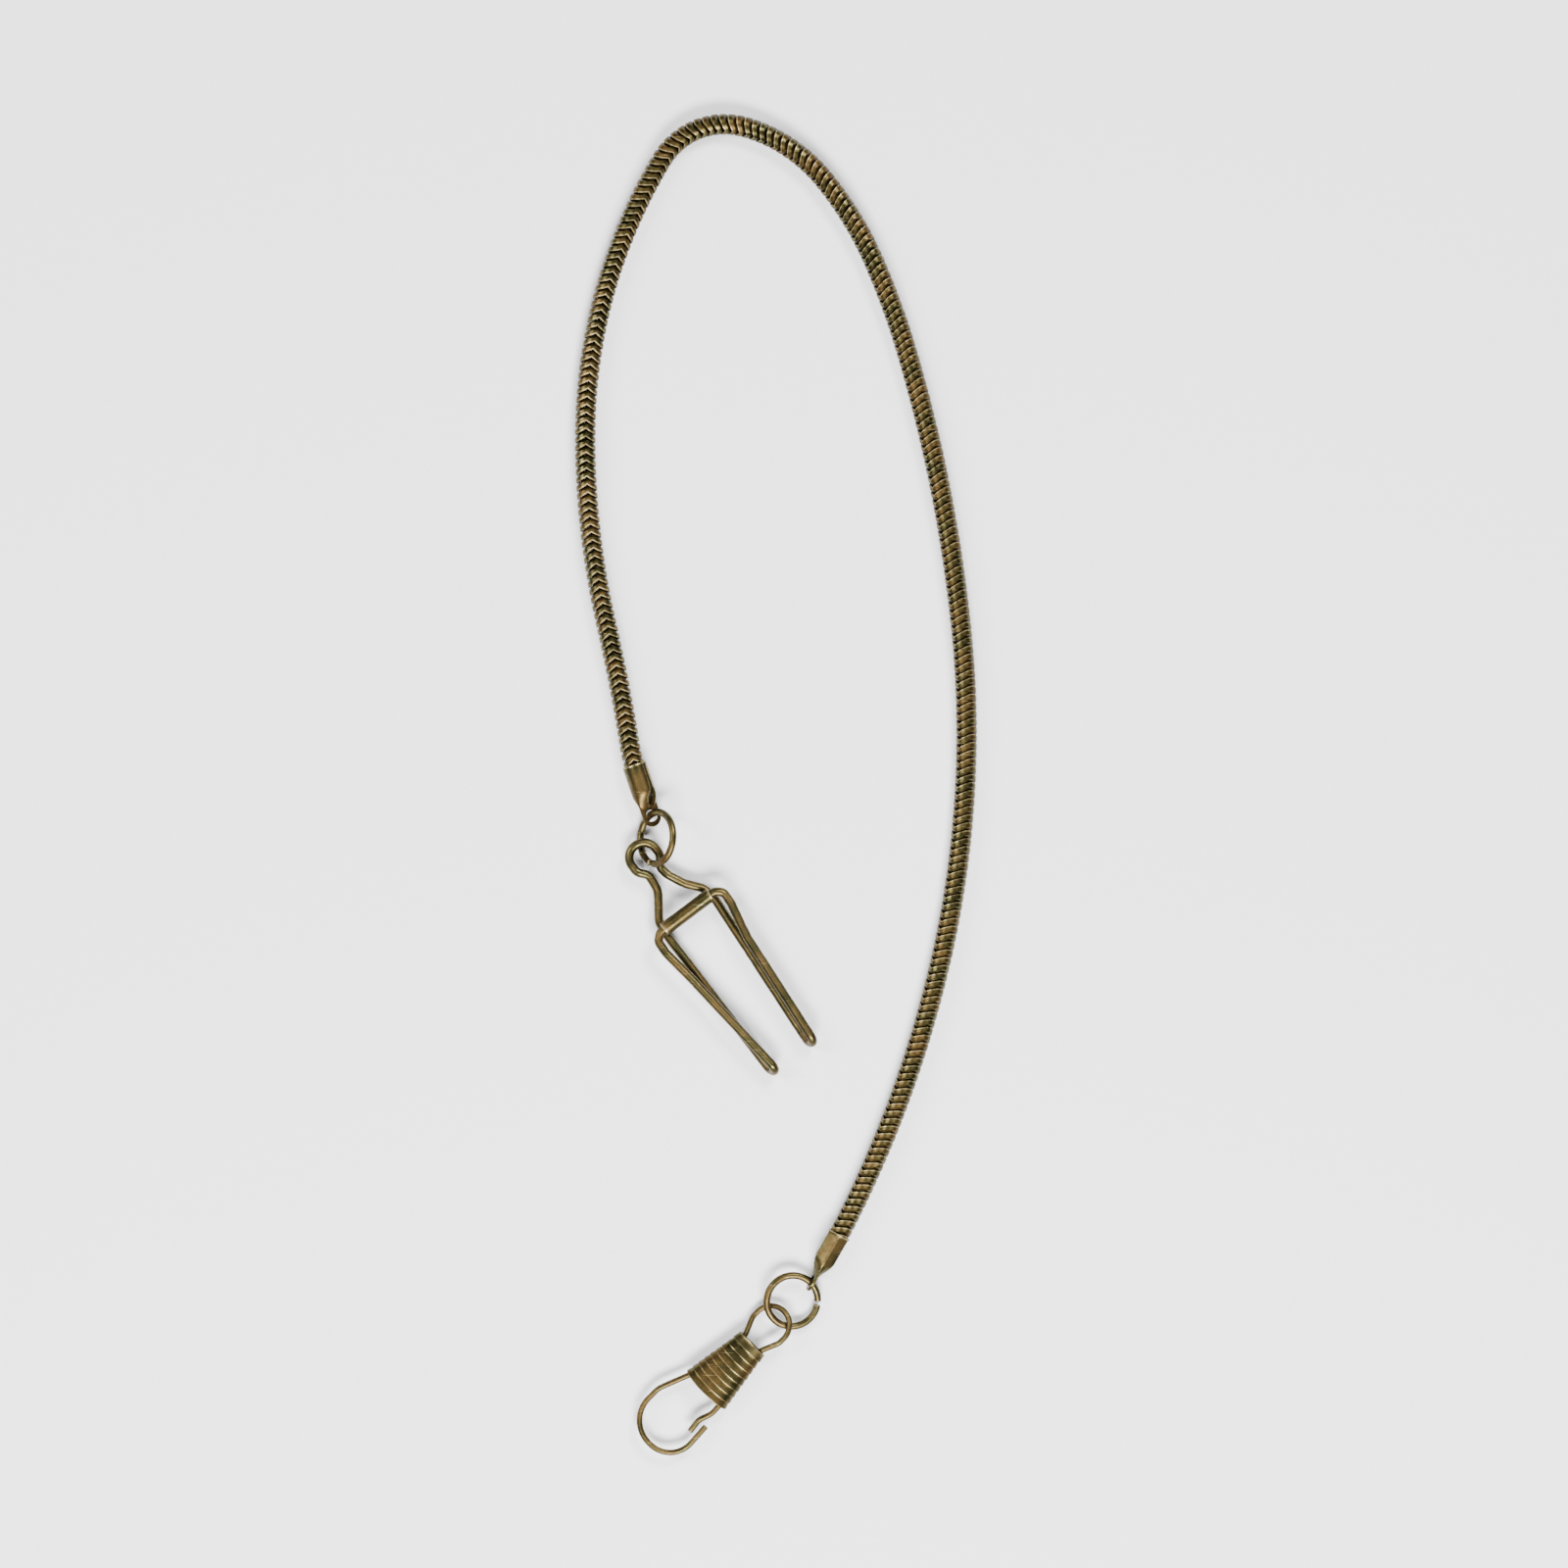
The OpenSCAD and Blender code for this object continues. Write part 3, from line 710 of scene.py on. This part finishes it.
def link_place(i):
    """Where link i stands; numbers below 0 or past the end lie inside the caps."""
    outside = i if i < 0 else i - LINKS if i >= LINKS else 0
    x, y, a = PATH[0] if i < 0 else END if i >= LINKS else PATH[i]
    if 0 <= i < LINKS:
        a += TURNS[i] / 2
    middle = Vector((x, y, CAP_R)) + (outside + 0.5) * PITCH * heading(a)
    return (Matrix.Translation(middle) @ Matrix.Rotation(math.radians(a), 4, "Z")
            @ Matrix.Rotation(math.radians(twist_at(i)), 4, "X"))


class WATCH_CHAIN_OT_chain_links(bpy.types.Operator):
    """String the snake chain's chevron links along the lay"""

    bl_idname = "watch_chain.chain_links"
    bl_label = "Chain Links"

    def execute(self, context):
        mat = brass("chain_brass")
        one = bpy.data.meshes.new("link")
        made = link_mesh()
        made.to_mesh(one)
        made.free()
        half = RUN_LINKS // 2
        for k in range(RUNS + 1):
            first = -GRIPPED if k == 0 else k * RUN_LINKS - half
            last = LINKS + GRIPPED if k == RUNS else k * RUN_LINKS + half
            bm = bmesh.new()
            edge_layer(bm)
            for i in range(first, last):
                before = len(bm.verts)
                bm.from_mesh(one)
                bm.verts.ensure_lookup_table()
                bmesh.ops.transform(bm, matrix=link_place(i), verts=bm.verts[before:])
            links = finished(bm, f"chain_links_{k:02d}", mat, smooth=25)
            if 0 < k < RUNS:
                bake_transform(links)
            else:
                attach(links, "chain_01" if k == 0 else f"chain_{RUNS:02d}")
            lies_in(links, *(f"chain_run_{n:02d}" for n in (k, k + 1) if 0 < n <= RUNS))
            if k < RUNS:
                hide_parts(f"chain_run_{k + 1:02d}")
        bpy.data.meshes.remove(one)
        return {"FINISHED"}


# ---- spring clasp ----
def in_loop(x, y):
    """A point of the clasp's loop, which is rolled a little out of level."""
    roll = math.radians(LOOP_ROLL)
    return Vector((x - LOOP_AT, y * math.cos(roll), y * math.sin(roll) - LOOP_DROP))


class WATCH_CHAIN_OT_clasp_wire(bpy.types.Operator):
    """Bend the clasp's wire into its loop, hook and gate"""

    bl_idname = "watch_chain.clasp_wire"
    bl_label = "Clasp Wire"

    def execute(self, context):
        mat = brass("clasp_brass")
        r, h = LOOP_D / 2, HOOK_D / 2
        leg_top, leg_base = CONE_TOP / 2 - 0.95, CONE_BASE / 2 - 0.85
        hook = Vector((CONE_LEN + HOOK_AT, -0.45, 0))
        pin = Vector((CONE_LEN - 2.5, leg_base - 0.55, 0))
        pin_side = Vector((0, leg_top, 0))
        corners = [(pin + 0.85 * (pin_side - pin).normalized(), 0), (pin_side, 2),
                   (in_loop(0.34 * r, r), 2), (in_loop(-r, r), r), (in_loop(-r, -r), r),
                   (in_loop(0.34 * r, -r), 2), (Vector((0, -leg_top, 0)), 2),
                   (Vector((CONE_LEN, -leg_base, 0)), 3), (hook + Vector((-0.43 * h, -h, 0)), 4),
                   (hook + Vector((h, -h, 0)), h), (hook + Vector((h, h, 0)), 0.88 * h),
                   (hook + Vector((-0.64 * h, 0.9 * h, 0)), 0)]
        bent = finished(wire(route(corners), CLASP_WIRE, 0.05, 5.0), "clasp_hook_wire", mat,
                        CLASP_PLACE)
        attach(bent, "clasp")
        stands_for(bent, "clasp_hook")
        corners = [(pin, 0), (Vector((CONE_LEN, leg_base - 0.25, 0)), 3),
                   (Vector((CONE_LEN + 2, leg_base - 0.15, 0)), 3),
                   (Vector((CONE_LEN + 4.1, leg_base - 0.9, 0)), 2),
                   (Vector((CONE_LEN + 6.3, leg_base - 0.6, 0)), 0)]
        gate = finished(wire(route(corners), CLASP_WIRE, 0.04, 8.0), "clasp_gate_wire", mat,
                        CLASP_PLACE)
        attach(gate, "gate")
        stands_for(gate, "clasp_gate")
        return {"FINISHED"}


class WATCH_CHAIN_OT_clasp_sleeve(bpy.types.Operator):
    """Press the clasp's ribbed sleeve"""

    bl_idname = "watch_chain.clasp_sleeve"
    bl_label = "Ribbed Clasp Sleeve"

    def execute(self, context):
        plain, wall, step, bow = 1.4, 0.3, 0.15, 0.24
        pitch = (CONE_LEN - plain) / RIBS

        def r_at(x):
            return CONE_TOP / 2 + (CONE_BASE - CONE_TOP) / 2 * x / CONE_LEN

        # Tones: near 1 on the mouth's rims and each rib's crest, bright scuffed brass and partly a
        # painted highlight; low in the grooves and 0 inside the sleeve, painted shade with some real
        # tarnish.
        outline = [(0.12, r_at(0) - wall, 0.1), (0, r_at(0) - wall + 0.08, 0.8),
                   (0, r_at(0) - 0.08, 1.0), (0.1, r_at(0.1), 0.9), (0.5, r_at(0.5), 0.62),
                   (plain - 0.2, r_at(plain), 0.62), (plain - 0.08, r_at(plain) + 0.02, 1.0)]
        for rib in range(RIBS):
            for t, drop, tone in ((0.0, 0.9, 0.25), (0.1, 1.0, 0.48), (0.35, 0.62, 0.60),
                                  (0.86, 0.06, 0.62), (0.92, 0.0, 0.84), (0.98, 0.25, 0.56)):
                x = plain + (rib + t) * pitch
                outline.append((x, r_at(x) - step * drop, tone))
        outline += [(CONE_LEN - 0.02, r_at(CONE_LEN) - 0.08, 1.0),
                    (CONE_LEN, r_at(CONE_LEN) - wall, 0.5),
                    (CONE_LEN - 0.4, r_at(CONE_LEN) - wall - 0.1, 0.0),
                    (CONE_LEN * 0.5, r_at(CONE_LEN * 0.5) - wall, 0.0)]
        bm = spun(outline, context.scene.watch_chain_detail.cone_sides)
        bmesh.ops.scale(bm, vec=(1, 1, CONE_FLAT), verts=bm.verts)
        for v in bm.verts:
            v.co.x += bow * v.co.z * ease(v.co.x, 0, CONE_LEN / 2)
        sleeve = finished(bm, "clasp_ribbed_sleeve", brass("sleeve_brass"),
                          CLASP_PLACE, 50)
        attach(sleeve, "clasp")
        stands_for(sleeve, "clasp_sleeve")
        return {"FINISHED"}


# ---- stage ----
VIEW_MIDDLE = (0.00124, 0.00007)  # the point of the floor under the camera, in metres


def soft_light(name, place, size, power):
    """A rectangular lamp aimed at the middle of the chain."""
    data = bpy.data.lights.new(name, "AREA")
    data.shape = "RECTANGLE"
    data.size, data.size_y = size
    data.energy = power
    lamp = bpy.data.objects.new(name, data)
    bpy.context.scene.collection.objects.link(lamp)
    lamp.location = place
    lamp.rotation_euler = (-Vector(place)).to_track_quat("-Z", "Y").to_euler()
    return lamp


class WATCH_CHAIN_OT_stage(bpy.types.Operator):
    """Set the pale floor, the soft lights and the camera above the chain"""

    bl_idname = "watch_chain.stage"
    bl_label = "Floor, Lights and Camera"

    def execute(self, context):
        stage = context.scene.watch_chain_stage
        bm = bmesh.new()
        bmesh.ops.create_grid(bm, x_segments=1, y_segments=1, size=1.5)
        mesh = bpy.data.meshes.new("floor")
        bm.to_mesh(mesh)
        bm.free()
        floor = bpy.data.objects.new("floor", mesh)
        context.scene.collection.objects.link(floor)
        mat = bpy.data.materials.new("floor_paper")
        mat.use_nodes = True
        nodes, links = mat.node_tree.nodes, mat.node_tree.links
        shader = nodes["Principled BSDF"]
        shader.inputs["Roughness"].default_value = 0.85
        shader.inputs["Base Color"].default_value = tuple(stage.floor) + (1,)
        where, grain, bump = (nodes.new(kind) for kind in (
            "ShaderNodeTexCoord", "ShaderNodeTexNoise", "ShaderNodeBump"))
        grain.inputs["Scale"].default_value = 900
        bump.inputs["Strength"].default_value = 0.15
        bump.inputs["Distance"].default_value = 0.0001
        links.new(where.outputs["Object"], grain.inputs["Vector"])
        links.new(grain.outputs["Fac"], bump.inputs["Height"])
        links.new(bump.outputs["Normal"], shader.inputs["Normal"])
        mesh.materials.append(mat)

        world = bpy.data.worlds.new("studio")
        world.use_nodes = True
        sky = world.node_tree.nodes["Background"]
        sky.inputs["Color"].default_value = (0.75, 0.75, 0.74, 1)
        sky.inputs["Strength"].default_value = 0.16
        context.scene.world = world
        soft_light("key", (0.05, -0.50, 0.62), (0.45, 0.22), stage.key)
        soft_light("side", (-0.55, 0.15, 0.60), (0.25, 0.45), stage.key * 0.32)
        soft_light("back", (0.30, 0.50, 0.70), (0.30, 0.25), stage.key * 0.5)

        camera = bpy.data.cameras.new("camera")
        camera.sensor_width = 36
        height = 0.9
        camera.lens = camera.sensor_width * height / stage.view
        camera.clip_end = 10
        eye = bpy.data.objects.new("camera", camera)
        context.scene.collection.objects.link(eye)
        eye.location = (*VIEW_MIDDLE, height)
        context.scene.camera = eye
        return {"FINISHED"}


class VIEW3D_PT_watch_chain(bpy.types.Panel):
    """Lists the pieces of the pocket watch chain"""

    bl_label = "Pocket Watch Chain"
    bl_idname = "VIEW3D_PT_watch_chain"
    bl_space_type = "VIEW_3D"
    bl_region_type = "UI"
    bl_category = "Watch Chain"

    def draw(self, context):
        layout = self.layout
        for step in OPERATORS:
            layout.operator(step.bl_idname)
        for group in (context.scene.watch_chain_finish, context.scene.watch_chain_detail,
                      context.scene.watch_chain_stage):
            box = layout.box()
            for name in group.__annotations__:
                box.prop(group, name)


GROUPS = (WatchChainFinish, WatchChainDetail, WatchChainStage)
OPERATORS = (WATCH_CHAIN_OT_stage, WATCH_CHAIN_OT_clip_wire, WATCH_CHAIN_OT_clip_sleeve,
             WATCH_CHAIN_OT_jump_rings, WATCH_CHAIN_OT_end_caps, WATCH_CHAIN_OT_chain_links,
             WATCH_CHAIN_OT_clasp_wire, WATCH_CHAIN_OT_clasp_sleeve)


def register():
    for cls in GROUPS + OPERATORS + (VIEW3D_PT_watch_chain,):
        bpy.utils.register_class(cls)
    bpy.types.Scene.watch_chain_finish = PointerProperty(type=WatchChainFinish)
    bpy.types.Scene.watch_chain_detail = PointerProperty(type=WatchChainDetail)
    bpy.types.Scene.watch_chain_stage = PointerProperty(type=WatchChainStage)


def unregister():
    for name in ("watch_chain_finish", "watch_chain_detail", "watch_chain_stage"):
        delattr(bpy.types.Scene, name)
    for cls in reversed(GROUPS + OPERATORS + (VIEW3D_PT_watch_chain,)):
        bpy.utils.unregister_class(cls)


def main():
    register()
    bpy.ops.watch_chain.stage()
    bpy.ops.watch_chain.clip_wire()
    bpy.ops.watch_chain.clip_sleeve()
    bpy.ops.watch_chain.jump_rings()
    bpy.ops.watch_chain.end_caps()
    bpy.ops.watch_chain.chain_links()
    bpy.ops.watch_chain.clasp_wire()
    bpy.ops.watch_chain.clasp_sleeve()


if __name__ == "__main__":
    main()
